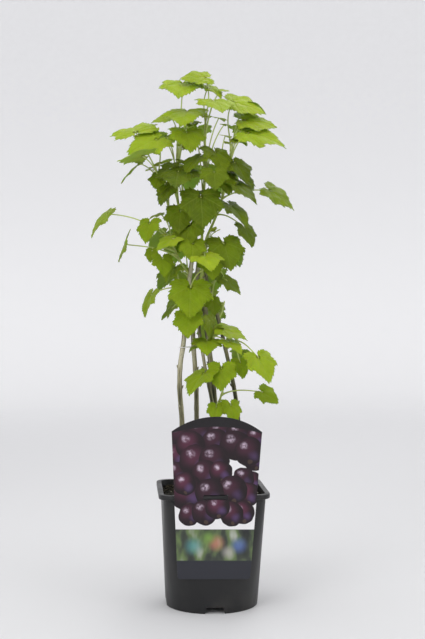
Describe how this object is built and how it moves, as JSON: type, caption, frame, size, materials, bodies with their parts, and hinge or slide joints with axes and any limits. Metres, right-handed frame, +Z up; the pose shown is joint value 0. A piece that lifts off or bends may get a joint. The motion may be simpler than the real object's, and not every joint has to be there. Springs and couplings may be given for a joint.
{
  "type": "potted blackcurrant bush",
  "caption": "Young potted blackcurrant bush: woody canes with lobed leaves on green shoots, loosely tied with string, in a square-rimmed nursery pot with an arched plant label.",
  "frame": {"origin": "middle of the pot's foot, on the surface that it stands on", "axes": "+Z up along the plant, -Y towards the side that carries the label, +X to the right of it"},
  "size_m": [0.269, 0.1643, 0.7177],
  "materials": {
    "pot_plastic": "satin moulded black plastic",
    "label_print": "printed plastic sheet, semi-gloss",
    "compost": "crumbly moist peat and bark compost",
    "bark": "thin striped bark, matt",
    "leaf": "veined leaf, soft sheen, slightly translucent",
    "string": "thin white twine"
  },
  "bodies": {
    "root": {"pot": "pot_plastic", "label": "label_print", "soil": "compost", "tie": "string", "cane_a": "bark", "cane_b": "bark", "cane_c": "bark", "cane_d": "bark", "cane_e": "bark", "shoot_a": "leaf", "shoot_b": "leaf", "shoot_c": "leaf", "shoot_d": "leaf", "shoot_e": "leaf", "side_a": "leaf", "side_a_low": "leaf", "side_d": "leaf", "side_c": "leaf", "side_d_low": "leaf", "basal": "leaf", "back_b": "leaf", "back_d": "leaf"}
  },
  "joints": []
}
